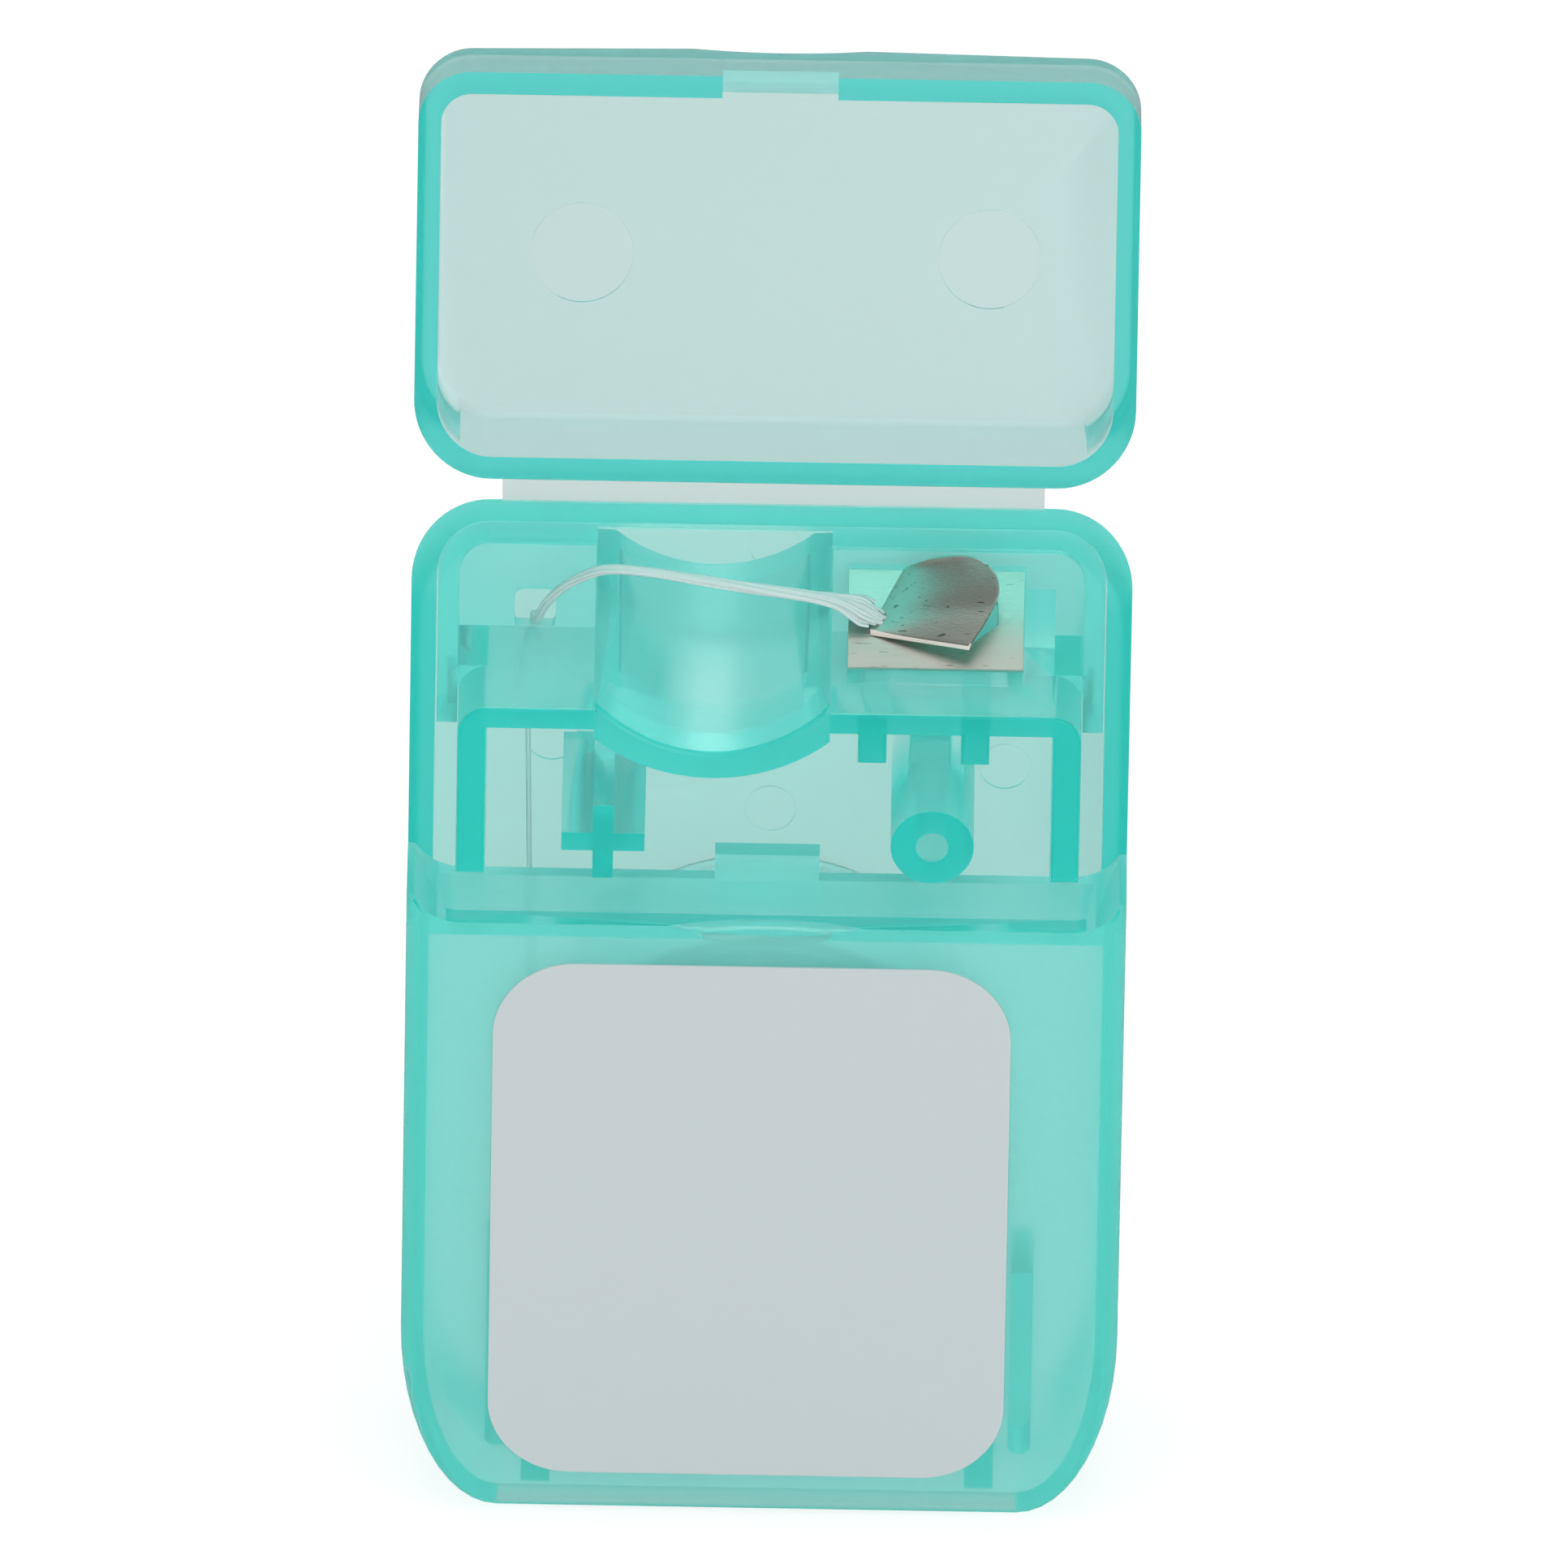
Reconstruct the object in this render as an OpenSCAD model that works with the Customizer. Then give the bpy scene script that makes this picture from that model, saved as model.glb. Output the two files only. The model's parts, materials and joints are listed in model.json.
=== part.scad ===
// Pocket dental floss dispenser: a translucent box with a hinged lid, a clip-in front cover that
// carries the floss over a sloped trough to a steel cutter, and a floss bobbin in the lower half.
// Lengths are in millimetres. The front faces -Y, +X is to the right and the base lies on Z = 0.

/* [Case] */
// Width of the case
case_w = 35; // [32:0.5:42]
// Height of the closed case
case_h = 53.9; // [48:0.1:64]
// Depth of the closed case, front to back
case_d = 12.5; // [11.25:0.25:14]
// Thickness of the back case's walls
wall = 1.2; // [0.9:0.1:1.5]
// Radius of the case's top corners
top_corner_r = 3.8; // [3.2:0.1:4.6]
// How far the back case's top falls from the hinge to the back
roof_fall = 4.46; // [3:0.02:5.2]
// Width of the rounded bottom corners
foot_corner_w = 4.8; // [3:0.1:6]
// Height of the rounded bottom corners
foot_corner_h = 10; // [5:0.5:12]
// Distance from the front face to the parting plane
front_d = 5.5; // [5:0.1:6.5]
// Height of the closed case above the ledge on which the lid ends
head_h = 20.6; // [20:0.1:21.4]

/* [Front cover] */
// Thickness of the front cover's walls
cover_t = 1.1; // [0.9:0.1:1.4]
// Gap between the front cover and the back case
part_gap = 0.1; // [0.05:0.05:0.25]
// Width of the raised block over its legs
block_w = 30.3; // [29:0.1:30.8]
// Thickness of the block's legs
leg_t = 1.4; // [1:0.1:1.8]
// Distance from the front face to the block's front edge
block_front = 1.5; // [1.4:0.1:2.5]
// Height of the shelf's top above the ledge
shelf_rise = 11.2; // [10.5:0.1:12.5]
// Thickness of the shelf
shelf_t = 1.2; // [0.9:0.1:1.5]
// Radius of the block's outer corners
block_corner_r = 1.5; // [0.8:0.1:2]
// Thickness of the panels behind the shelf
panel_t = 0.8; // [0.6:0.1:1]
// Thickness of the brim over the panels
brim_t = 1; // [0.6:0.1:1.2]
// Space for the floss between the panels and the back wall
floss_space = 1.0; // [0.9:0.1:1.5]
// Thickness of the cheeks beside the shelf
cheek_t = 0.5; // [0.4:0.1:0.7]
// How far the cheeks reach below the shelf's top
cheek_drop = 3.2; // [1.5:0.1:5]
// Width of the floss outlet
outlet_w = 2; // [1.6:0.1:3]
// Height of the floss outlet above the shelf
outlet_h = 2.1; // [1.6:0.1:3]
// Distance of the floss outlet to the left of the middle
outlet_x = 11.5; // [10.8:0.1:12.5]
// Width of the thumb scoop in the front face
thumb_w = 9.8; // [7:0.1:12]
// Height of the thumb scoop
thumb_h = 1.1; // [0.8:0.1:1.6]
// Depth of the thumb scoop
thumb_d = 0.8; // [0.5:0.1:0.9]

/* [Trough] */
// Slope of the trough and of the cutter's deck, in degrees
deck_slope = 32.5; // [25:0.5:36]
// Distance of the trough to the left of the middle
trough_x = 2.8; // [2:0.1:3.2]
// Width of the trough
trough_w = 11.5; // [9.5:0.1:12]
// Radius of the trough's floor
trough_r = 8.3; // [7.5:0.1:11]
// Depth of the trough's floor below the shelf's top at its front
trough_drop = 2.4; // [1.8:0.1:3]
// Thickness of the trough's floor
trough_t = 1.1; // [0.8:0.1:1.3]
// Thickness of the trough's cheeks
trough_cheek_t = 0.9; // [0.7:0.1:1.1]
// Thickness of the lip under the trough's front
lip_t = 1.4; // [1:0.1:1.8]
// How far the lip reaches back under the trough
lip_l = 3.5; // [2:0.1:4.5]

/* [Cutter] */
// Width of the cutter's plate
cutter_w = 8.55; // [7.5:0.05:9]
// Length of the cutter's plate along the slope
cutter_l = 5.4; // [4.6:0.1:5.5]
// Thickness of the cutter's sheet steel
cutter_t = 0.25; // [0.2:0.05:0.35]
// Gap between the cutter's plate and the lug
cutter_gap = 0.1; // [0.05:0.05:0.2]
// Distance of the cutter's middle to the right of the case's middle
cutter_x = 8; // [7.6:0.1:8.4]
// Gap between the cutter's plate and the panel behind it
cutter_room = 0.35; // [0.1:0.05:0.5]
// Height of the deck's front edge above the shelf
deck_rise = 0.7; // [0.5:0.1:1.2]
// Thickness of the deck under the cutter
deck_t = 0.9; // [0.7:0.1:1.1]
// Width of the lug at the cutter's right end
lug_w = 1.4; // [1:0.1:1.6]
// Length of the lug along the slope
lug_l = 3.2; // [2:0.1:4]
// Width of the ribs under the cutter's shelf
rib_w = 1.4; // [1:0.1:1.6]
// Depth of the ribs under the cutter's shelf
rib_drop = 1.6; // [1:0.1:2.2]
// Distance between the two ribs
rib_pitch = 5; // [4:0.1:5.4]

/* [Lid] */
// Thickness of the lid's walls
lid_t = 1.1; // [0.9:0.1:1.3]
// Slope of the closed lid's top, up from the front face to the hinge, in degrees
brow_slope = 16.5; // [5:0.5:24]
// How far the open lid leans back from upright, in degrees
lid_lean = 14.5; // [0:0.1:25]
// Gap round the closed lid
lid_gap = 0.2; // [0.1:0.05:0.3]
// Radius of the corners at the lid's free edge
lid_corner_r = 2.6; // [1.8:0.1:3.4]
// Length of the hinge web between case and lid
hinge_l = 1.1; // [1:0.05:1.5]
// Thickness of the hinge web
hinge_t = 0.4; // [0.25:0.05:0.5]
// Width of the hinge web
hinge_w = 26.3; // [22:0.1:28]
// Width of the catch on the ledge
catch_w = 5.1; // [4:0.1:6.5]
// Height of the catch above the ledge
catch_h = 1.5; // [1.2:0.1:2]
// Thickness of the catch
catch_t = 1; // [0.8:0.1:1.2]
// Gap between the catch and the lid's notch
catch_gap = 0.25; // [0.15:0.05:0.4]

/* [Posts] */
// Distance of each post from the middle
post_x = 8; // [7:0.1:9]
// Height of the posts above the ledge
post_rise = 3.8; // [3.6:0.1:4.6]
// Diameter of the hollow post and span of the cross post
post_d = 4.05; // [3.4:0.05:4.4]
// Diameter of the hollow post's hole
post_hole_d = 1.6; // [1.2:0.1:2]
// Depth of the hollow post's hole
post_hole_l = 6; // [3:0.5:8]
// Thickness of the cross post's arms
post_arm_t = 1; // [0.8:0.1:1.3]

/* [Bobbin] */
// Radius of the floss winding
winding_r = 10.8; // [9:0.1:11]
// Radius of the bobbin's core
core_r = 3.5; // [2.5:0.1:5]
// Wall of the bobbin's core
core_t = 0.8; // [0.6:0.1:1.2]
// Width of the floss winding
winding_w = 7.2; // [5:0.1:7.6]
// How far the core stands out of the winding at each side
core_out = 0.15; // [0.05:0.05:0.3]
// Gap round the bobbin
bobbin_gap = 0.3; // [0.2:0.05:0.4]
// Distance from the ledge's underside to the winding's top
winding_drop = 1; // [0.6:0.1:2]
// Angle below level at which the cradle holds the winding, in degrees
cradle_angle = 24; // [18:1:32]
// Thickness of the cradle's ribs
cradle_t = 1.4; // [1:0.1:1.8]
// Thickness of the guide ribs
guide_t = 1.1; // [0.8:0.1:1.4]
// Gap between the cradle's ribs and the guide ribs
guide_gap = 0.7; // [0.3:0.1:1.2]
// Height of the guide ribs' lower ends
guide_z = 3.3; // [2.5:0.1:5]
// Height of the guide ribs' upper ends
guide_top = 13.6; // [10:0.1:16]
// Thickness of the floss
floss_d = 0.6; // [0.4:0.05:0.7]

/* [Label] */
// Width of the label
label_w = 25.2; // [20:0.1:26]
// Distance from the label's upper edge up to the thumb scoop
label_gap = 1.1; // [0.8:0.1:4]
// Height of the label's lower edge
label_z = 2.3; // [2:0.1:4]
// Distance of the label's middle to the left of the case's middle
label_x = 0.6; // [0:0.1:1]
// Radius of the label's corners
label_r = 4; // [1:0.1:6]
// Thickness of the label
label_t = 0.1; // [0.1:0.05:0.2]

/* [Hidden] */
$fn = 64;

// Smallest overlap that makes two pieces of one moulding fuse, and a cut pass a face
fuse = 0.05;
foot_steps = 12;
tube_sides = 8;

back_q = case_d - wall;
panel_q = back_q - floss_space - panel_t;
ledge_z = case_h - head_h;
shelf_z = ledge_z + shelf_rise;
roof_slope = atan(roof_fall / (case_d - front_d));
label_h = ledge_z - thumb_h - label_gap - label_z;
shell_d = front_d - part_gap;
lid_d = front_d - lid_gap;
lid_z = ledge_z + lid_gap;
post_z = ledge_z + post_rise;
leg_x = block_w / 2;

// Hinge line, and the angle from closed to the lid's open rest
axis_q = front_d - lid_gap / 2;
axis_z = case_h + hinge_l / 2;
open_angle = 180 + lid_lean;
// Reach of the legs' feet from the hinge line, inside the swing of the lid's free edge
foot_reach = axis_z - lid_z - lid_t - lid_gap;

winding_z = ledge_z - cover_t - winding_drop - winding_r;
winding_q = back_q - bobbin_gap - core_out - winding_w / 2;
cradle_r = winding_r + bobbin_gap;
cradle_x = cradle_r * cos(cradle_angle);
cradle_top = winding_z - cradle_r * sin(cradle_angle);
guide_x = cradle_x + cradle_t + guide_gap;
guide_low_r = guide_t / 2 - fuse;
guide_high_r = guide_t / 8;

trough_half = trough_w / 2;
// Height of the trough's axis above its floor, upright
trough_axis_rise = trough_r / cos(deck_slope);
trough_edge = sqrt(trough_r * trough_r - trough_half * trough_half);
deck_front = panel_q - cutter_room - cutter_l * cos(deck_slope);
deck_left = cutter_x - cutter_w / 2;
deck_right = cutter_x + cutter_w / 2 + cutter_gap;
// Middle of the ribs, a little to the left of the cutter's
rib_x = cutter_x - 0.5;
deck_z = shelf_z + deck_rise;

shell_color = "MediumTurquoise";
steel_color = "Silver";
floss_color = "White";
label_color = "Gainsboro";

// Floss from the winding to its outlet, as offsets from the middle of the outlet's lower edge
floss_inside = [
    [0.2, -2.3, -24.1], [0.1, -2.2, -20.5], [0, -1.9, -16.5], [-0.1, -1.3, -12.5], [-0.2, -0.3, -8.5],
    [-0.3, 0.8, -4.5], [-0.3, 1.3, -1.9], [-0.1, 1.2, -0.1], [0, 0.4, 0.4], [0.1, -0.5, 0.7],
    [0.5, -1.1, 1.9], [1.3, -1.6, 3.1]
];
// Floss over the trough as [offset from its middle, offset from the panel, height over its cheeks' edges]
floss_over = [
    [-6.4, -2, -0.17], [-5.2, -2.3, 0.62], [-3.2, -2.5, 0.95], [-1.2, -2.7, 0.98], [0.8, -2.9, 1.01],
    [2.8, -3.1, 0.93], [4.8, -3.2, 0.7], [6, -3.1, 0.33]
];
// Floss under the tongue, as offsets from the deck's front left corner
floss_caught = [[0.28, 2, 2.6], [0.88, 2, 2]];
// Height of the trough's cheeks at a distance behind the front face
function cheek_z(q) = shelf_z - trough_drop + trough_axis_rise - trough_edge / cos(deck_slope)
    + (q - block_front) * tan(deck_slope);
// Floss route as [x, distance behind the front face, height]
floss_route = concat(
    [for (p = floss_inside) p + [-outlet_x, panel_q, shelf_z]],
    [for (p = floss_over) [p.x - trough_x, p.y + panel_q, p.z + cheek_z(p.y + panel_q)]],
    [for (p = floss_caught) p + [deck_left, deck_front, deck_z]]
);

// Places what is drawn with y = 0 at the front face
module from_front() {
    translate([0, -case_d / 2, 0]) children();
}

// Extrudes an outline drawn as [x, z] from one distance behind the front face to another
module slab(near, far) {
    translate([0, far, 0]) rotate([90, 0, 0]) linear_extrude(far - near) children();
}

// Extrudes a profile drawn as [distance behind the front face, z] between two x
module side_slab(left, right) {
    translate([left, 0, 0]) rotate([90, 0, 90]) linear_extrude(right - left) children();
}

// Rectangle with one radius at the bottom corners and another at the top
module rounded_box(left, right, low, high, low_r, high_r) {
    translate([left, low + low_r]) square([right - left, high - high_r - low - low_r]);
    translate([left + low_r, low]) square([right - left - 2 * low_r, low_r + fuse]);
    translate([left + high_r, high - high_r - fuse]) square([right - left - 2 * high_r, high_r + fuse]);
    for (side = [0, 1]) {
        translate([side == 0 ? left + low_r : right - low_r, low + low_r]) circle(low_r);
        translate([side == 0 ? left + high_r : right - high_r, high - high_r]) circle(high_r);
    }
}

// One elliptic bottom corner, from the side (a = 0) down to the base (a = 90)
function foot_arc(side, inset) = [
    for (i = [0:foot_steps])
        let (a = 90 * i / foot_steps)
        [side * (case_w / 2 - foot_corner_w + (foot_corner_w - inset) * cos(a)),
         foot_corner_h - (foot_corner_h - inset) * sin(a)]
];
function reversed(list) = [for (i = [len(list) - 1:-1:0]) list[i]];

// Outline of the case, drawn in by inset and open at the top
module case_outline(inset) {
    polygon(concat(foot_arc(-1, inset), reversed(foot_arc(1, inset))));
    translate([inset - case_w / 2, foot_corner_h - fuse]) square([case_w - 2 * inset, case_h]);
}

// Outline of the lid, drawn in by inset and open at the top
module lid_outline(inset) {
    rounded_box(inset - case_w / 2, case_w / 2 - inset, lid_z + inset, 2 * case_h, lid_corner_r - inset, 1);
}

// Space under a top with rounded corners that tilts about its edge at the hinge, drawn in by inset
module under_top(edge_q, tilt, inset) {
    half = case_w / 2 - inset;
    translate([0, edge_q, case_h]) rotate([tilt, 0, 0])
        slab(-case_h, case_h)
            rounded_box(-half, half, -2 * case_h, -inset * cos(tilt), 1, top_corner_r - inset);
}
module under_roof(inset) {
    under_top(front_d, -roof_slope, inset);
}

// Ball that cuts the thumb scoop, low side at the ledge when way = 1, high side when way = -1
module thumb_ball(edge_z, way) {
    half = thumb_w / 2;
    rise = (half * half / thumb_h - thumb_h) / 2;
    ahead = (half * half - thumb_d * thumb_d) / (2 * thumb_d);
    ball_r = sqrt(pow(rise + thumb_h, 2) + ahead * ahead);
    translate([0, -ahead, edge_z + way * rise]) sphere(ball_r, $fn = 96);
}

// Swings the closed lid to its open rest
module opened() {
    translate([0, axis_q, axis_z]) rotate([-open_angle, 0, 0]) translate([0, -axis_q, -axis_z]) children();
}

module hollow_post() {
    translate([post_x, back_q + fuse, post_z]) rotate([90, 0, 0])
        difference() {
            cylinder(d = post_d, h = back_q + fuse - block_front);
            translate([0, 0, back_q + fuse - block_front - post_hole_l]) cylinder(d = post_hole_d, h = post_hole_l + 1);
        }
}

module cross_post() {
    slab(block_front, back_q + fuse) translate([-post_x, post_z]) {
        square([post_d, post_arm_t], center = true);
        square([post_arm_t, post_d], center = true);
    }
}

module back_case() {
    color(shell_color) from_front() {
        difference() {
            intersection() {
                slab(front_d, case_d) case_outline(0);
                under_roof(0);
            }
            intersection() {
                slab(front_d - 1, back_q) case_outline(wall);
                under_roof(wall);
            }
        }
        hollow_post();
        cross_post();
    }
}

// Lower half-shell with its horns round the lid's corners
module front_shell() {
    difference() {
        slab(0, shell_d) intersection() {
            case_outline(0);
            translate([-case_w, 0]) square([2 * case_w, ledge_z + lid_corner_r / 2]);
        }
        slab(-1, shell_d + 1) rounded_box(-case_w / 2, case_w / 2, ledge_z, case_h, lid_corner_r, 1);
        slab(cover_t, shell_d + 1) intersection() {
            case_outline(cover_t);
            translate([-case_w, 0]) square([2 * case_w, ledge_z - cover_t]);
        }
        thumb_ball(ledge_z, 1);
    }
}

// Catch bar and the tongues of the ledge that carry it and the block
module ledge_carriers() {
    slab(shell_d - catch_t, front_d + fuse) translate([-catch_w / 2, ledge_z - cover_t / 2])
        square([catch_w, cover_t / 2 + catch_h]);
    for (side = [-1, 1])
        slab(shell_d - cover_t, front_d + 2 * cover_t)
            translate([side > 0 ? leg_x - leg_t : -leg_x, ledge_z - cover_t]) square([leg_t, cover_t]);
}

// The block's arch: shelf and legs with rounded outer corners, the feet clear of the swinging lid
module block_arch() {
    parting = front_d + part_gap;
    intersection() {
        slab(block_front, panel_q + panel_t) difference() {
            rounded_box(-leg_x, leg_x, ledge_z - cover_t, shelf_z, block_corner_r, block_corner_r);
            translate([leg_t - leg_x, ledge_z - 2 * cover_t])
                square([2 * (leg_x - leg_t), shelf_z - shelf_t - ledge_z + 2 * cover_t]);
        }
        side_slab(-case_w, case_w) {
            intersection() {
                square([parting, case_h]);
                translate([axis_q, axis_z]) circle(foot_reach);
            }
            translate([parting - fuse, 0]) square([case_d, case_h]);
        }
    }
}

// Panels behind the shelf with the cheeks and the brim round them, inside the back case's walls
module panels() {
    inset = wall + part_gap;
    difference() {
        intersection() {
            slab(front_d + part_gap, panel_q + panel_t) case_outline(inset);
            translate([-case_w, 0, shelf_z - cheek_drop]) cube([2 * case_w, case_d, case_h]);
            under_roof(inset);
        }
        intersection() {
            slab(0, panel_q) case_outline(inset + cheek_t);
            under_roof(inset + brim_t);
        }
        translate([cheek_t + inset - case_w / 2, panel_q - 1, 0])
            cube([case_w - 2 * (cheek_t + inset), case_d, shelf_z - shelf_t]);
    }
    for (side = [-1, 1])
        translate([side > 0 ? leg_x - leg_t : inset - case_w / 2, front_d + part_gap, shelf_z - shelf_t])
            cube([case_w / 2 - inset - leg_x + leg_t, panel_q - front_d, shelf_t]);
}

// Frame whose y axis climbs the deck's slope from the trough's front floor
module along_trough() {
    translate([-trough_x, block_front, shelf_z - trough_drop + trough_axis_rise])
        rotate([deck_slope, 0, 0]) children();
}

// Space over the trough's floor, and beyond its ends when over is positive
module trough_hollow() {
    along_trough() translate([0, -case_d, 0]) rotate([-90, 0, 0]) cylinder(r = trough_r, h = 3 * case_d);
    translate([-trough_x - trough_half, -1, shelf_z - trough_drop + trough_axis_rise - trough_edge / cos(deck_slope)])
        rotate([deck_slope, 0, 0]) translate([0, -1, 0]) cube([trough_w, 3 * case_d, case_d]);
}

// Lip under the trough's front, level below
module trough_lip() {
    sag = trough_axis_rise - trough_edge / cos(deck_slope);
    inner_r = (trough_half * trough_half + sag * sag) / (2 * sag);
    intersection() {
        translate([-trough_x, block_front, shelf_z - trough_drop + inner_r]) rotate([-90, 0, 0])
            cylinder(r = inner_r + lip_t, h = lip_l);
        translate([-trough_x - trough_half, 0, ledge_z]) cube([trough_w, case_d, shelf_z - ledge_z]);
    }
}

module trough() {
    difference() {
        union() {
            intersection() {
                translate([-trough_x - trough_half, block_front, ledge_z])
                    cube([trough_w, panel_q + panel_t - block_front, case_h]);
                under_roof(wall + part_gap);
                union() {
                    along_trough() translate([0, -case_d, 0]) rotate([-90, 0, 0])
                        cylinder(r = trough_r + trough_t, h = 3 * case_d);
                    for (side = [-1, 1])
                        translate([side > 0 ? trough_half - trough_cheek_t - trough_x : -trough_half - trough_x,
                                   0, shelf_z - shelf_t])
                            cube([trough_cheek_t, case_d, case_h]);
                }
            }
            trough_lip();
        }
        trough_hollow();
    }
}

// Opening in the shelf and the panels for the trough
module trough_opening() {
    translate([-trough_x - trough_half + fuse, 0, ledge_z])
        cube([trough_w - 2 * fuse, case_d, case_h]);
}

// Sloped deck under the cutter, hollow below, with the lug at its right end
module cutter_deck() {
    side_slab(deck_left, deck_right) difference() {
        deck_profile(0);
        deck_profile(deck_t);
    }
    for (x = [deck_left, deck_right - deck_t])
        side_slab(x, x + deck_t) deck_profile(0);
    side_slab(deck_right - fuse, deck_right + lug_w) lug_profile();
    for (side = [-1, 1])
        translate([rib_x + side * rib_pitch / 2 - rib_w / 2, block_front, shelf_z - shelf_t - rib_drop])
            cube([rib_w, panel_q - block_front, rib_drop + fuse]);
}

// Side view of the deck's wedge, drawn in by inset and then open below
module deck_profile(inset) {
    near = deck_front + inset;
    far = panel_q + fuse - inset;
    low = shelf_z - fuse - 2 * inset;
    lower = inset / cos(deck_slope);
    polygon([[near, low], [near, deck_z - lower + inset * tan(deck_slope)],
             [far, deck_z - lower + (far - deck_front) * tan(deck_slope)], [far, low]]);
}

// Side view of the lug: a block that stands on the shelf, its top level with the cutter's
module lug_profile() {
    start = deck_front + (cutter_l - lug_l) / 2 * cos(deck_slope);
    end = start + lug_l * cos(deck_slope);
    top = deck_z + cutter_t / cos(deck_slope);
    polygon([[start, shelf_z - fuse], [start, top + (start - deck_front) * tan(deck_slope)],
             [end, top + (end - deck_front) * tan(deck_slope)], [end, shelf_z - fuse]]);
}

// Ribs on the inside of the front face: the bobbin's cradle and the guides beside it
module bobbin_ribs() {
    reach = back_q - bobbin_gap;
    for (side = [-1, 1]) {
        translate([side > 0 ? cradle_x : -cradle_x - cradle_t, cover_t - fuse, wall + part_gap])
            cube([cradle_t, reach - cover_t + fuse, cradle_top - wall - part_gap]);
        slab(cover_t - fuse, shell_d)
            rounded_box(side > 0 ? guide_x : -guide_x - guide_t, side > 0 ? guide_x + guide_t : -guide_x,
                        guide_z, guide_top, guide_low_r, guide_high_r);
    }
}

// Floss outlet in the left panel, with rounded upper corners
module outlet() {
    slab(panel_q - 1, panel_q + panel_t + 1)
        rounded_box(-outlet_x - outlet_w / 2, outlet_w / 2 - outlet_x, shelf_z, shelf_z + outlet_h,
                    outlet_w / 8, outlet_w / 4);
}

module front_cover() {
    color(shell_color) from_front() {
        front_shell();
        ledge_carriers();
        bobbin_ribs();
        difference() {
            union() {
                block_arch();
                panels();
            }
            trough_opening();
            side_slab(deck_left + deck_t, deck_right - deck_t) deck_profile(deck_t);
            outlet();
        }
        trough();
        cutter_deck();
    }
}

// Outside of the closed lid, or its hollow when inset is its wall and near its panel's
module lid_body(near, far, inset) {
    intersection() {
        slab(near, far) lid_outline(inset);
        under_top(lid_d, brow_slope, inset);
    }
}

module closed_lid() {
    difference() {
        lid_body(0, lid_d, 0);
        lid_body(lid_t, lid_d + 1, lid_t);
        thumb_ball(lid_z, -1);
        slab(shell_d - catch_t - catch_gap, lid_d + 1)
            translate([-catch_w / 2 - catch_gap, lid_z - 1]) square([catch_w + 2 * catch_gap, lid_t + 2]);
    }
}

module lid() {
    color(shell_color) from_front() opened() closed_lid();
}

// Point of the closed lid's side view after the swing
function swung(q, z) = [
    axis_q + (q - axis_q) * cos(open_angle) + (z - axis_z) * sin(open_angle),
    axis_z - (q - axis_q) * sin(open_angle) + (z - axis_z) * cos(open_angle)
];

module living_hinge() {
    color(shell_color) from_front() side_slab(-hinge_w / 2, hinge_w / 2) polygon([
        [front_d, case_h], [front_d + hinge_t, case_h - hinge_t * tan(roof_slope)],
        swung(lid_d - hinge_t, case_h - hinge_t * tan(brow_slope)), swung(lid_d, case_h)
    ]);
}

// Frame on top of the deck: x to the right from the plate's left edge, y up the slope
module on_deck() {
    translate([deck_left, deck_front, deck_z]) rotate([deck_slope, 0, 0]) children();
}

// Tongue of the cutter as [x, y, height over the plate]: corner, tip, free edge and root
tongue_corner = [1.1, 1.9, 0.35];
tongue_tip = [5.9, 0.7, 1.2];
tongue_side = [7.1, 2.6, 1.75];
tongue_high = [5.4, 4.9, 1.9];
tongue_root = [3.4, 4.9, 1.4];
root_low = [1.5, 2.9, 0];
root_high = [3, 5.2, 0];
// Hole that the tongue leaves in the plate as [x, y]
relief = [[1.8, 2.9], [5.9, 1.3], [7.3, 2.5], [7.1, 3.6], [6, 4.7], [3.3, 4.7]];

module cutter() {
    color(steel_color) from_front() on_deck() {
        difference() {
            cube([cutter_w, cutter_l, cutter_t]);
            translate([0, 0, -1]) linear_extrude(cutter_t + 2) polygon(relief);
        }
        tongue();
    }
}

// Sheet between four points, as thick as the plate
module sheet(points) {
    hull() for (p = points) translate(p) cylinder(d = cutter_t / 2, h = cutter_t, $fn = 8);
}

module tongue() {
    sheet([tongue_corner, tongue_tip, tongue_side, tongue_root]);
    sheet([tongue_side, tongue_high, tongue_root]);
    sheet([root_low, [root_high.x, cutter_l - 0.2, 0], tongue_root, tongue_corner]);
}

module bobbin_core() {
    length = winding_w + 2 * core_out;
    color(floss_color) from_front() translate([0, winding_q + length / 2, winding_z]) rotate([90, 0, 0])
        difference() {
            cylinder(r = core_r, h = length);
            translate([0, 0, -1]) cylinder(r = core_r - core_t, h = length + 2);
        }
}

module floss_winding() {
    color(floss_color) from_front() translate([0, winding_q + winding_w / 2, winding_z]) rotate([90, 0, 0])
        difference() {
            cylinder(r = winding_r, h = winding_w);
            translate([0, 0, -1]) cylinder(r = core_r, h = winding_w + 2);
        }
}

// Smooth curve through the route, two rings to a stretch
function clamp_index(i) = max(0, min(len(floss_route) - 1, i));
function curve_point(i, t) =
    let (a = floss_route[clamp_index(i - 1)], b = floss_route[i], c = floss_route[clamp_index(i + 1)],
         d = floss_route[clamp_index(i + 2)])
    b + t / 2 * (c - a) + t * t / 2 * (2 * a - 5 * b + 4 * c - d) + t * t * t / 2 * (3 * b - a - 3 * c + d);
strand_points = concat(
    [for (i = [0:len(floss_route) - 2], t = [0, 0.5]) curve_point(i, t)],
    [floss_route[len(floss_route) - 1]]
);
strand_last = len(strand_points) - 1;
function unit(v) = v / norm(v);
function strand_ring(i) =
    let (along = unit(strand_points[min(strand_last, i + 1)] - strand_points[max(0, i - 1)]),
         across = unit(cross(along, [0.6, 0.8, 0])), over = cross(along, across))
    [for (s = [0:tube_sides - 1])
        strand_points[i] + floss_d / 2 * (cos(360 * s / tube_sides) * across + sin(360 * s / tube_sides) * over)];

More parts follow.
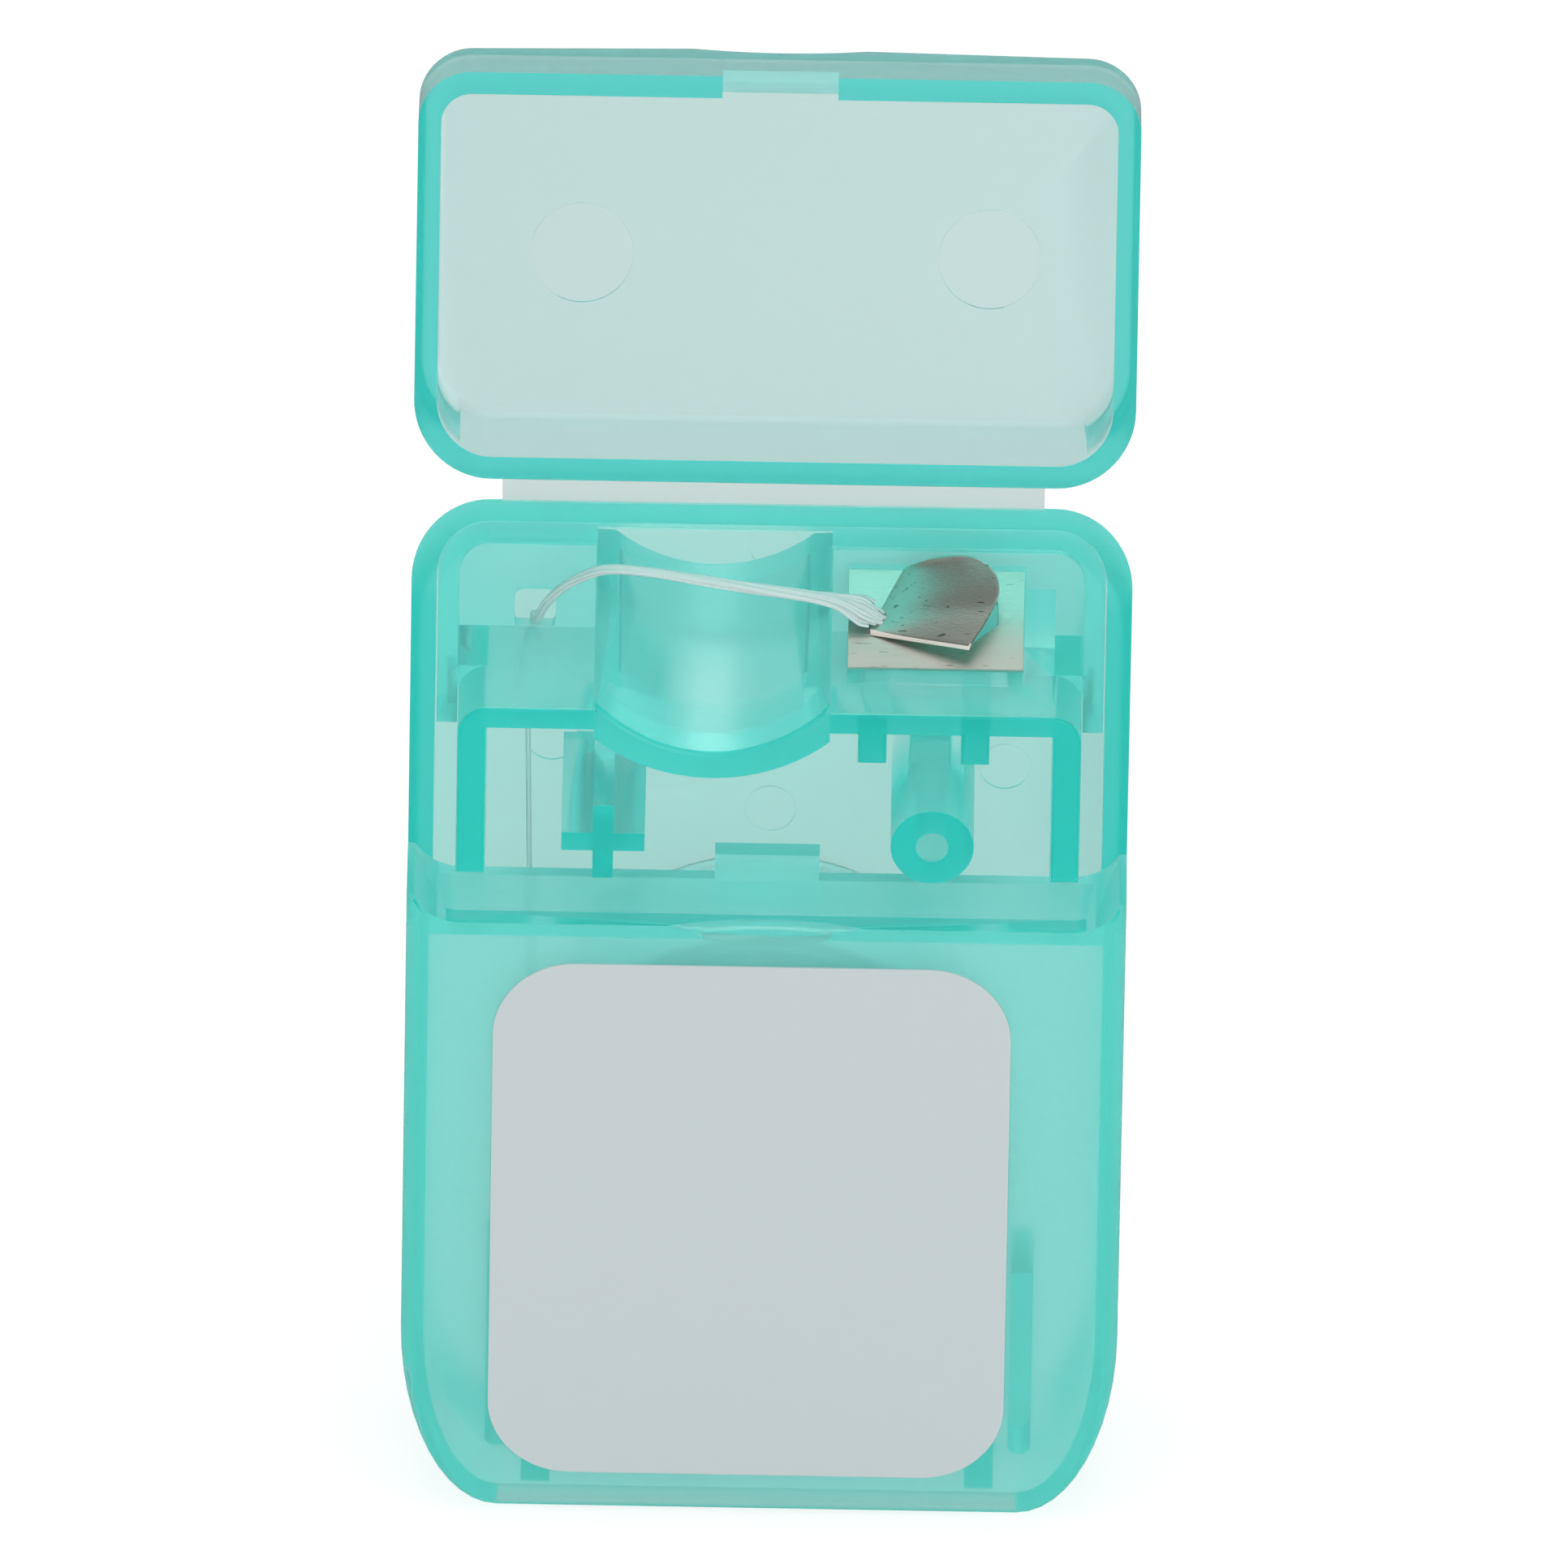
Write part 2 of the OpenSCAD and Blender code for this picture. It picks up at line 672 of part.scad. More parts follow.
module floss_strand() {
    rings = [for (i = [0:strand_last]) each strand_ring(i)];
    sides = [
        for (i = [0:strand_last - 1], s = [0:tube_sides - 1])
            let (a = i * tube_sides + s, b = i * tube_sides + (s + 1) % tube_sides)
            [a, a + tube_sides, b + tube_sides, b]
    ];
    ends = [[for (s = [0:tube_sides - 1]) s], [for (s = [tube_sides - 1:-1:0]) strand_last * tube_sides + s]];
    color(floss_color) from_front() polyhedron(rings, concat(sides, ends));
}

module label() {
    color(label_color) from_front() slab(-label_t, 0)
        rounded_box(-label_w / 2 - label_x, label_w / 2 - label_x, label_z, label_z + label_h, label_r, label_r);
}

back_case();
front_cover();
lid();
living_hinge();
cutter();
bobbin_core();
floss_winding();
floss_strand();
label();
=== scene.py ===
# %% [markdown]
# A pocket dental floss dispenser, dressed in Blender
#
# The dispenser is a thin-walled polypropylene box with a lid on a living
# hinge. Its CAD model gives every size, so this script loads that model as a
# fixed frame and gives it the surfaces, edges and fibres that CAD leaves out.

# %% Load the frame
import json
import math
import random

import bpy
from mathutils import Matrix, Vector

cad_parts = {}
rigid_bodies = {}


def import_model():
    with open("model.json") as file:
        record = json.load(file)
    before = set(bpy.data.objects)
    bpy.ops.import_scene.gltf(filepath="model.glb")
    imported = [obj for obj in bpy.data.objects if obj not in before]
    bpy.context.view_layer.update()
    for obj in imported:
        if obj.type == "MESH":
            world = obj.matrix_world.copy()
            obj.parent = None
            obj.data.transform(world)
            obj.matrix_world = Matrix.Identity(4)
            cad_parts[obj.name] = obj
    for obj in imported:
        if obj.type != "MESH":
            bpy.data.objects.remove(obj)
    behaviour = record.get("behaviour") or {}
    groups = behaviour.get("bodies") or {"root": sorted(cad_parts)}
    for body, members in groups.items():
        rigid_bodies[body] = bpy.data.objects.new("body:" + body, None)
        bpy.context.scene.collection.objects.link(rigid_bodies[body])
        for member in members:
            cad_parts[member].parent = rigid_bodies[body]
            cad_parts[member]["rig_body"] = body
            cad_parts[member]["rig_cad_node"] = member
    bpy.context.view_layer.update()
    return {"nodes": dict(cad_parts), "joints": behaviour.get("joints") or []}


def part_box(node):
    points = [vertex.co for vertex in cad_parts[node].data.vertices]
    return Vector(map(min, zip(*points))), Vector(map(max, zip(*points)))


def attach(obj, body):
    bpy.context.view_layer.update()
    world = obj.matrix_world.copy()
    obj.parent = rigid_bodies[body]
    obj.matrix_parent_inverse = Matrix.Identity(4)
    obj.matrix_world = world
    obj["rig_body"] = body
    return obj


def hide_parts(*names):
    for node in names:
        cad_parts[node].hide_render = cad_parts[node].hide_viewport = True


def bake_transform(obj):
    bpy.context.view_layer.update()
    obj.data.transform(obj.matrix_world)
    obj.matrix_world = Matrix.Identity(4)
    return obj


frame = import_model()
bpy.ops.object.select_all(action="DESELECT")
MM = 0.001
print("CAD nodes:", sorted(frame["nodes"]))

# %% [markdown]
# The camera
#
# The photograph was taken straight from the front, from about 30 degrees
# above, by a lens so long that parallel edges stay parallel. A long lens far
# away gives the same picture. A small roll matches the case's slight tilt.

# %% Place the camera
VIEW_ANGLE = math.radians(30.3)
VIEW_DISTANCE = 2.5
VIEW_WIDTH = 76.3 * MM
LOOK_AT = Vector((0.75 * MM, 0, 37.75 * MM))
ROLL = math.radians(1.0)

camera_data = bpy.data.cameras.new("long_lens")
camera_data.sensor_width = 36
camera_data.lens = camera_data.sensor_width * VIEW_DISTANCE / VIEW_WIDTH
camera_data.clip_end = 20
camera = bpy.data.objects.new("camera", camera_data)
bpy.context.scene.collection.objects.link(camera)
towards_camera = Vector((0, -math.cos(VIEW_ANGLE), math.sin(VIEW_ANGLE)))
turn = towards_camera.to_track_quat("Z", "Y").to_matrix().to_4x4()
camera_place = Matrix.Translation(LOOK_AT + VIEW_DISTANCE * towards_camera)
camera.matrix_world = camera_place @ turn @ Matrix.Rotation(ROLL, 4, "Z")
bpy.context.scene.camera = camera
bpy.context.scene.view_settings.view_transform = "Standard"
print("lens", round(camera_data.lens), "mm")

# %% [markdown]
# Material tools
#
# A material is a few nodes linked together. One helper adds a node with its
# settings and links, and one turns the hex colours of a paint chart, which are
# in sRGB, to the linear light that the renderer counts in.


# %% Material tools
def linear(hex_colour):
    """The linear RGBA of an sRGB hex colour."""
    parts = [int(hex_colour[i:i + 2], 16) / 255 for i in (1, 3, 5)]
    return tuple(c / 12.92 if c <= 0.04045 else ((c + 0.055) / 1.055) ** 2.4
                 for c in parts) + (1.0,)


def node(tree, kind, settings=None, links=None):
    """Adds a node, sets its fields and its sockets by name or number, and links its inputs."""
    made = tree.nodes.new(kind)
    for name, value in (settings or {}).items():
        if isinstance(name, str) and hasattr(made, name):
            setattr(made, name, value)
        else:
            made.inputs[name].default_value = value
    for name, source in (links or {}).items():
        tree.links.new(source, made.inputs[name])
    return made


def new_material(name):
    """A material with only its output node, its node tree and that node."""
    material = bpy.data.materials.new(name)
    material.use_nodes = True
    material.node_tree.nodes.clear()
    output = material.node_tree.nodes.new("ShaderNodeOutputMaterial")
    return material, material.node_tree, output


def paint(piece, material):
    """Gives a piece one material."""
    piece.data.materials.clear()
    piece.data.materials.append(material)
    for face in piece.data.polygons:
        face.material_index = 0


print("white is", linear("#FFFFFF"))

# %% [markdown]
# Translucent polypropylene
#
# The shells are moulded in polypropylene with a little turquoise dye. Clear
# plastic is a refracting skin over a volume that takes red light out, so a
# thin panel looks pale and a long way through the plastic looks deep. A milky
# share of the skin spreads light instead of letting it through, and it is
# larger and deeper in colour at the wall ends that an attribute marks.
#
# The lid's panel is polished and nearly colourless, and the thin web is
# stretched white. The long waves are the flow of the melt, 11 mm apart.

# %% Colours of the plastic
PLASTIC_IOR = 1.49
DYE = "#00F8F2"
DYE_DENSITY = 215
CASE_MILK = "#8EEEE6"
PANEL_MILK = "#B0D8D6"
WEB_MILK = "#D5DEDC"
END_MILK = "#1ACCC4"
END_MILKINESS = 0.55
BACK_LIT_SHARE = 0.5
FLOW_WAVES_PER_MM = 0.09
FLOW_WAVE_DEPTH = 0.1 * MM
FLOW_WAVE_STRENGTH = 0.1

print("dye takes out red light over", round(1000 / DYE_DENSITY, 1), "mm")

# %% [markdown]
# One recipe for three plastics
#
# Refraction alone would hide the lamps from the parts inside, which would
# then look black. Light that only falls on things, as shadow and diffuse rays
# do, therefore goes straight through the plastic, dimmed a little. The eye
# still sees the refraction, and the inside looks as bright as the real one.

# %% Polypropylene
LIT_THROUGH = "#F4F8F8"


def polypropylene(name, milk, roughness, milkiness):
    """Dyed plastic: the colour of its milk, how satin its skin is and how milky it is."""
    material, tree, output = new_material(name)
    place = node(tree, "ShaderNodeTexCoord")
    flow = node(tree, "ShaderNodeTexNoise", {"Scale": FLOW_WAVES_PER_MM / MM, "Detail": 3},
                {"Vector": place.outputs["Object"]})
    waves = node(tree, "ShaderNodeBump", {
        "Strength": FLOW_WAVE_STRENGTH, "Distance": FLOW_WAVE_DEPTH}, {"Height": flow.outputs[0]})
    clear = node(tree, "ShaderNodeBsdfPrincipled", {
        "Base Color": linear("#FFFFFF"), "Roughness": roughness, "IOR": PLASTIC_IOR,
        "Transmission Weight": 1.0}, {"Normal": waves.outputs[0]})
    end = node(tree, "ShaderNodeAttribute", {"attribute_name": "wall_end"})
    haze = node(tree, "ShaderNodeMix", {
        "data_type": "RGBA", 6: linear(milk), 7: linear(END_MILK)}, {0: end.outputs["Fac"]})
    front_lit = node(tree, "ShaderNodeBsdfDiffuse", {}, {"Color": haze.outputs[2]})
    back_lit = node(tree, "ShaderNodeBsdfTranslucent", {}, {"Color": haze.outputs[2]})
    milky = node(tree, "ShaderNodeMixShader", {0: BACK_LIT_SHARE}, {
        1: front_lit.outputs[0], 2: back_lit.outputs[0]})
    share = node(tree, "ShaderNodeMapRange", {"To Min": milkiness, "To Max": END_MILKINESS},
                 {"Value": end.outputs["Fac"]})
    skin = node(tree, "ShaderNodeMixShader", {}, {
        0: share.outputs[0], 1: clear.outputs[0], 2: milky.outputs[0]})
    path = node(tree, "ShaderNodeLightPath")
    lighting = node(tree, "ShaderNodeMath", {"operation": "MAXIMUM"}, {
        0: path.outputs["Is Shadow Ray"], 1: path.outputs["Is Diffuse Ray"]})
    passing = node(tree, "ShaderNodeBsdfTransparent", {"Color": linear(LIT_THROUGH)})
    surface = node(tree, "ShaderNodeMixShader", {}, {
        0: lighting.outputs[0], 1: skin.outputs[0], 2: passing.outputs[0]})
    dye = node(tree, "ShaderNodeVolumeAbsorption", {
        "Color": linear(DYE), "Density": DYE_DENSITY})
    tree.links.new(surface.outputs[0], output.inputs["Surface"])
    tree.links.new(dye.outputs[0], output.inputs["Volume"])
    print(name, "milkiness", milkiness)
    return material


teal_plastic = polypropylene("moulded_teal_polypropylene", CASE_MILK, 0.24, 0.28)
polished_plastic = polypropylene("polished_teal_polypropylene", PANEL_MILK, 0.18, 0.2)
web_plastic = polypropylene("thin_web_polypropylene", WEB_MILK, 0.3, 0.45)

# %% [markdown]
# Stainless steel
#
# The cutter is punched from cold-rolled stainless strip. Rolling leaves fine
# lines along the strip, which stretch the highlights across them, and the
# punch leaves short dark nicks. Both are stretched noise: one drives the
# roughness and a faint bump, and the other the colour.
#
# Rolling lines are about 0.01 mm apart, which is too fine to show. They are
# drawn 0.05 mm apart, about one pixel, and 2 mm long. The nicks are 1 mm long
# and 0.2 mm wide, which is their real size.

# %% Steel sheet
STEEL = "#D6D6CC"
NICK = "#3F4640"
ROLLING_LINES_PER_MM = (0.48, 19.2, 19.2)
ROLLED_GLOSS = (0.24, 0.42)
ROLLED_DEPTH = 0.03 * MM
ROLLED_STRENGTH = 0.35
NICKS_PER_MM = (0.9, 5.2, 5.2)
RARE_PEAKS = (0.68, 0.76)
NICK_DARKNESS = 0.7

brushed_steel, tree, output = new_material("brushed_stainless_steel")
place = node(tree, "ShaderNodeTexCoord")
along_strip = node(tree, "ShaderNodeMapping", {"Scale": [n / MM for n in ROLLING_LINES_PER_MM]},
                   {"Vector": place.outputs["Object"]})
lines = node(tree, "ShaderNodeTexNoise", {"Scale": 1, "Detail": 4},
             {"Vector": along_strip.outputs[0]})
gloss = node(tree, "ShaderNodeMapRange", {"To Min": ROLLED_GLOSS[0], "To Max": ROLLED_GLOSS[1]},
             {"Value": lines.outputs[0]})
grooves = node(tree, "ShaderNodeBump", {"Strength": ROLLED_STRENGTH, "Distance": ROLLED_DEPTH},
               {"Height": lines.outputs[0]})
short = node(tree, "ShaderNodeMapping", {"Scale": [n / MM for n in NICKS_PER_MM]},
             {"Vector": place.outputs["Object"]})
marks = node(tree, "ShaderNodeTexNoise", {"Scale": 1, "Detail": 1}, {"Vector": short.outputs[0]})
rare = node(tree, "ShaderNodeMapRange", {
    "From Min": RARE_PEAKS[0], "From Max": RARE_PEAKS[1], "To Min": 0.0, "To Max": NICK_DARKNESS},
    {"Value": marks.outputs[0]})
tone = node(tree, "ShaderNodeMix", {
    "data_type": "RGBA", 6: linear(STEEL), 7: linear(NICK)}, {0: rare.outputs[0]})
rolled = node(tree, "ShaderNodeBsdfPrincipled", {"Metallic": 1.0}, {
    "Base Color": tone.outputs[2], "Roughness": gloss.outputs[0], "Normal": grooves.outputs[0]})
print("steel", STEEL, "nicks", NICK)

# %% [markdown]
# The torn edge of the steel and its painted highlight
#
# The shear bends the metal over and then tears it. A torn face is rough, and
# its pale, less metallic colour is a painted highlight for the bright line it
# shows below the dark mirror of the tongue. An attribute on the tongue's
# faces says where that edge is.

# %% Torn steel with a painted highlight
# Painted highlight: this pale colour stands in for the light that the torn edge catches.
TORN_HIGHLIGHT = "#E4D6CE"

torn_highlight = node(tree, "ShaderNodeBsdfPrincipled", {
    "Base Color": linear(TORN_HIGHLIGHT), "Metallic": 0.3, "Roughness": 0.5})
sheared_highlight = node(tree, "ShaderNodeAttribute", {"attribute_name": "sheared_highlight"})
strip = node(tree, "ShaderNodeMixShader", {}, {
    0: sheared_highlight.outputs["Fac"], 1: rolled.outputs[0], 2: torn_highlight.outputs[0]})
tree.links.new(strip.outputs[0], output.inputs["Surface"])
print("torn edge", TORN_HIGHLIGHT)

# %% [markdown]
# Waxed floss
#
# Nylon fibres under wax pass half of the light and scatter the rest, so the
# floss looks white with a little of the green that lies behind it, and its
# wax gives each fibre a soft sheen.

# %% Waxed floss
FLOSS = "#E2F4F2"

waxed_floss, tree, output = new_material("waxed_floss")
fibres = node(tree, "ShaderNodeBsdfPrincipled", {
    "Base Color": linear(FLOSS), "Roughness": 0.35, "IOR": 1.45, "Transmission Weight": 0.5})
tree.links.new(fibres.outputs[0], output.inputs["Surface"])
print("floss", FLOSS)

# %% [markdown]
# White polypropylene and paper
#
# The bobbin's core is opaque plastic, so it is seen through the case as a
# plain pale shape. The label is uncoated paper, which looks matt. Its fibres
# are some 0.02 mm wide, too fine to show, so its tooth is drawn 0.11 mm wide.

# %% Core plastic and label paper
CORE_WHITE = "#E3E8E6"
PAPER = "#AAB3B5"
PAPER_TOOTH_PER_MM = 9
PAPER_TOOTH_DEPTH = 0.02 * MM

white_plastic, tree, output = new_material("white_polypropylene")
opaque = node(tree, "ShaderNodeBsdfPrincipled", {
    "Base Color": linear(CORE_WHITE), "Roughness": 0.4, "IOR": PLASTIC_IOR})
tree.links.new(opaque.outputs[0], output.inputs["Surface"])

label_paper, tree, output = new_material("label_paper")
place = node(tree, "ShaderNodeTexCoord")
tooth = node(tree, "ShaderNodeTexNoise", {"Scale": PAPER_TOOTH_PER_MM / MM, "Detail": 2},
             {"Vector": place.outputs["Object"]})
grain = node(tree, "ShaderNodeBump", {"Strength": 0.15, "Distance": PAPER_TOOTH_DEPTH},
             {"Height": tooth.outputs[0]})
matt_paper = node(tree, "ShaderNodeBsdfPrincipled", {"Base Color": linear(PAPER), "Roughness": 0.6},
                  {"Normal": grain.outputs[0]})
tree.links.new(matt_paper.outputs[0], output.inputs["Surface"])
print("core", CORE_WHITE, "paper", PAPER)

# %% [markdown]
# Bench tools
#
# Every piece is worked on alone, as on a bench: it is picked, opened in edit
# mode and closed again. Modifiers are applied at once, so that the finished
# mesh holds their work.

# %% Bench tools
SMOOTH_ANGLE = math.radians(32)


def pick(piece):
    """Makes one piece the only one selected."""
    bpy.ops.object.select_all(action="DESELECT")
    bpy.context.view_layer.objects.active = piece
    piece.select_set(True)


def edit(piece):
    """Opens one piece in edit mode with edges to pick and nothing picked."""
    pick(piece)
    bpy.ops.object.mode_set(mode="EDIT")
    bpy.ops.mesh.select_mode(type="EDGE")
    bpy.ops.mesh.select_all(action="DESELECT")


def apply_modifier(piece, kind, **settings):
    """Adds a modifier to a piece, sets it and applies it."""
    pick(piece)
    modifier = piece.modifiers.new(kind.lower(), kind)
    for name, value in settings.items():
        setattr(modifier, name, value)
    bpy.ops.object.modifier_apply(modifier=modifier.name)


def smooth(piece, angle=SMOOTH_ANGLE):
    """Shades a piece smooth but for its sharp edges, with its flat faces kept flat."""
    pick(piece)
    bpy.ops.object.shade_smooth_by_angle(angle=angle)
    apply_modifier(piece, "WEIGHTED_NORMAL", keep_sharp=True)


def dress(piece, node_name, body, material):
    """Puts a finished piece in the place of its CAD node."""
    paint(piece, material)
    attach(piece, body)
    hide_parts(node_name)
    print(piece.name, len(piece.data.polygons), "faces")


print("edges sharper than", round(math.degrees(SMOOTH_ANGLE)), "degrees stay sharp")

# %% [markdown]
# Shells with rounded edges
#
# The CAD shells have sharp outer edges. Real mouldings have rounded ones,
# which catch a light line, so each shell is copied, and its outer edges are
# picked by their place and bevelled.

# %% Tools for shells
SAME_POINT = 0.002 * MM
SAME_PLANE = 0.01 * MM
FLAT_ANGLE = math.radians(0.5)


def shell_copy(name):
    """A free copy of a CAD node with its doubled points joined and its flat faces whole."""
    source = frame["nodes"][name]
    piece = source.copy()
    piece.data = source.data.copy()
    piece.name = name + "_moulding"
    piece.parent = None
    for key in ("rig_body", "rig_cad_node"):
        if key in piece:
            del piece[key]
    bpy.context.scene.collection.objects.link(piece)
    edit(piece)
    bpy.ops.mesh.select_all(action="SELECT")
    bpy.ops.mesh.remove_doubles(threshold=SAME_POINT)
    bpy.ops.mesh.dissolve_limited(angle_limit=FLAT_ANGLE)
    bpy.ops.object.mode_set(mode="OBJECT")
    return piece


def round_edges(piece, wanted, radius, steps=4):
    """Bevels the edges whose two ends pass a test."""
    edit(piece)
    bpy.ops.object.mode_set(mode="OBJECT")
    points = [v.co.copy() for v in piece.data.vertices]
    picked = 0
    for edge in piece.data.edges:
        a, b = (points[i] for i in edge.vertices)
        edge.select = wanted(a, b)
        picked += edge.select
    bpy.ops.object.mode_set(mode="EDIT")
    bpy.ops.mesh.bevel(offset=radius, segments=steps, clamp_overlap=False)
    bpy.ops.object.mode_set(mode="OBJECT")
    print(piece.name, picked, "edges rounded")


def box_of(name):
    """The lowest and the highest corner of a CAD node."""
    return [Vector(corner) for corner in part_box(name)]


case_top = box_of("back_case")[1].z
back_y = box_of("back_case")[1].y
front_y = box_of("front_cover")[0].y
print("case depth", round((back_y - front_y) / MM, 2), "mm")

# %% [markdown]
# Marks of the mould
#
# Pins push a moulding out of its mould and leave shallow round marks, which
# show as faint circles. A cylinder cuts each one. Where a wall ends, the eye
# looks along its depth, so those faces are marked for the deeper colour. A
# plane first splits the faces where the colour has to stop or to fade.

# %% Tools for marks
EJECTOR_D = 2.5 * MM
EJECTOR_SINK = 0.1 * MM
EJECTOR_SIDES = 48


def sink_mark(piece, centre, axis, radius, depth):
    """Sinks a shallow round mark with its floor at depth along the axis from its centre."""
    bpy.ops.mesh.primitive_cylinder_add(
        vertices=EJECTOR_SIDES, radius=radius, depth=2 * depth)
    tool = bpy.context.object
    turn = Vector(axis).to_track_quat("Z", "Y").to_matrix().to_4x4()
    tool.data.transform(Matrix.Translation(centre) @ turn)
    apply_modifier(piece, "BOOLEAN", object=tool, operation="DIFFERENCE", solver="EXACT")
    bpy.data.objects.remove(tool)


def split_at(piece, place, normal):
    """Cuts the faces of a piece along a plane, without changing its shape."""
    edit(piece)
    bpy.ops.mesh.select_all(action="SELECT")
    bpy.ops.mesh.bisect(plane_co=place, plane_no=normal)
    bpy.ops.object.mode_set(mode="OBJECT")


def deepen_ends(piece, wanted, strength=lambda at: 1):
    """Marks the wall ends that pass a test, where the plastic is seen along its depth."""
    marks = piece.data.attributes.new("wall_end", "FLOAT", "CORNER")
    ends = [face for face in piece.data.polygons if wanted(face.center, face.normal)]
    for face in ends:
        for corner in face.loop_indices:
            point = piece.data.vertices[piece.data.loops[corner].vertex_index]
            marks.data[corner].value = strength(point.co)
    print(piece.name, len(ends), "wall end faces")


print("ejector pins", EJECTOR_D / MM, "mm wide")

# %% [markdown]
# The back case
#
# Its outer edge at the back is rounded so that it slides into a pocket. Six
# ejector marks show through the wall, above, beside and below the posts.

# %% Back case
BACK_EDGE_R = 1.0 * MM
WALL = 1.2 * MM
BACK_MARKS_MM = ((-10.6, 37.2), (0.1, 33.4), (11.5, 36.0),
                 (0.1, 48.2), (-10.2, 24.6), (10.3, 24.4))


def on_back(a, b):
    return min(a.y, b.y) > back_y - SAME_PLANE


back_case = shell_copy("back_case")
round_edges(back_case, on_back, BACK_EDGE_R)
for x, z in BACK_MARKS_MM:
    mark = Vector((x * MM, back_y - WALL, z * MM))
    sink_mark(back_case, mark, (0, 1, 0), EJECTOR_D / 2, EJECTOR_SINK)

# %% [markdown]
# The head of the back case
#
# Above the front cover the case is open in front, and its wall ends make a
# frame around the block. The frame is deep turquoise beside the ledge, and
# pales towards the top, where the wall is shallower.

# %% Back case wall ends
HEAD_BAND = (33.3 * MM, 48 * MM, 51 * MM)
PALEST_END = 0.2
SQUARE_ON = 0.8


def on_head_front(at, way):
    return way.y < -SQUARE_ON and at.y < 0 and at.z > HEAD_BAND[0]


def fading_up(at):
    return min(1, max(PALEST_END, (case_top - at.z) / (case_top - HEAD_BAND[1])))


for height in HEAD_BAND:
    split_at(back_case, (0, 0, height), (0, 0, 1))
smooth(back_case)
dress(back_case, "back_case", "case", teal_plastic)
deepen_ends(back_case, on_head_front, fading_up)

# %% [markdown]
# The front cover
#
# Its outer front edge is rounded, but the ledge's edge is left crisp, because
# the closed lid meets it. The front edges of the raised block get a small
# round, as a polished mould gives them.

# %% Front cover
FRONT_EDGE_R = 0.8 * MM
LEDGE_Z = 33.3 * MM
LEDGE_REACH = 2 * MM
LEDGE_NEAR = 0.1 * MM
SIDE_X = 17.4 * MM
BLOCK_Y = -4.75 * MM
BLOCK_EDGE_R = 0.2 * MM


def on_outer_front(a, b):
    in_front = max(a.y, b.y) < front_y + SAME_PLANE
    on_ledge = (min(a.z, b.z) > LEDGE_Z - LEDGE_REACH
                and max(abs(a.x), abs(b.x)) < SIDE_X)
    return in_front and not on_ledge


def on_block_front(a, b):
    on_plane = max(abs(a.y - BLOCK_Y), abs(b.y - BLOCK_Y)) < SAME_PLANE
    return on_plane and min(a.z, b.z) > LEDGE_Z + LEDGE_NEAR


front_cover = shell_copy("front_cover")
round_edges(front_cover, on_outer_front, FRONT_EDGE_R)
round_edges(front_cover, on_block_front, BLOCK_EDGE_R, 3)

# %% [markdown]
# The wall ends of the front cover
#
# The block's front edges and the top of the ledge's wall are where the eye
# looks into the depth of this piece, so they are marked for the deep colour.

# %% Front cover wall ends
BLOCK_DEPTH = 4 * MM
ROUNDED_FRONT = 0.6
LEVEL_TOP = 0.9


def on_cover_end(at, way):
    block_front = (way.y < -ROUNDED_FRONT and at.z > LEDGE_Z
                   and at.y < front_y + BLOCK_DEPTH)
    wall_top = (way.z > LEVEL_TOP and abs(at.z - LEDGE_Z) < LEDGE_NEAR
                and at.y < front_y + WALL)
    return block_front or wall_top


split_at(front_cover, (0, front_y + WALL, 0), (0, 1, 0))
smooth(front_cover)
dress(front_cover, "front_cover", "case", teal_plastic)
deepen_ends(front_cover, on_cover_end)

# %% [markdown]
# The lid
#
# The lid is easiest to describe closed, where its panel stands upright in
# front. The joint turns it to its open rest, so places on the closed lid are
# turned with the same joint to find them on the open one. The scoop for the
# finger, in the middle of its lower edge, stays crisp.

# %% Lid
LID_EDGE_R = 0.9 * MM
SCOOP_HALF_WIDTH = 5 * MM
SCOOP_TOP = 36 * MM

hinge = next(joint for joint in frame["joints"] if joint["name"] == "lid_hinge")
hinge_point = Vector(hinge["pos_m"])
closing = math.radians(hinge["range_deg"][1])
to_open = (Matrix.Translation(hinge_point) @ Matrix.Rotation(-closing, 4, "X")
           @ Matrix.Translation(-hinge_point))
to_closed = to_open.inverted()


def on_outer_panel(a, b):
    a, b = to_closed @ a, to_closed @ b
    in_front = max(a.y, b.y) < front_y + SAME_PLANE
    in_scoop = (max(abs(a.x), abs(b.x)) < SCOOP_HALF_WIDTH
                and max(a.z, b.z) < SCOOP_TOP)
    return in_front and not in_scoop


lid = shell_copy("lid")
round_edges(lid, on_outer_panel, LID_EDGE_R)

# %% [markdown]
# The lid's panel and rim
#
# Two wide ejector marks lie on the inside of the panel. The end of its rim
# faces the eye when the lid is open, so it is marked for the deep colour.

# %% Lid marks and rim
LID_PANEL = 1.1 * MM
LID_MARK_X_MM = (-9.5, 10.3)
LID_MARK_Z = 43.6 * MM
RIM_REACH = 0.5 * MM

inwards = to_open.to_3x3() @ Vector((0, 1, 0))
for x in LID_MARK_X_MM:
    mark = to_open @ Vector((x * MM, front_y + LID_PANEL, LID_MARK_Z))
    sink_mark(lid, mark, inwards, EJECTOR_D, 2 * EJECTOR_SINK)
smooth(lid)
dress(lid, "lid", "lid", polished_plastic)
rim_y = max((to_closed @ v.co).y for v in lid.data.vertices)


def on_rim(at, way):
    faces_back = (to_closed.to_3x3() @ way).y > SQUARE_ON
    return faces_back and (to_closed @ at).y > rim_y - RIM_REACH


deepen_ends(lid, on_rim)

# %% [markdown]
# The cutter's plate
#
# A rectangle of 0.25 mm stainless strip lies on the sloped deck. Its tongue
# is lanced out of it, which leaves a hole. The plate is a thin block, the
# hole is cut by a prism of its outline, and a hair-fine bevel breaks the
# edges as tumbling does after punching. Places on the plate are in
# millimetres from its lower left corner.

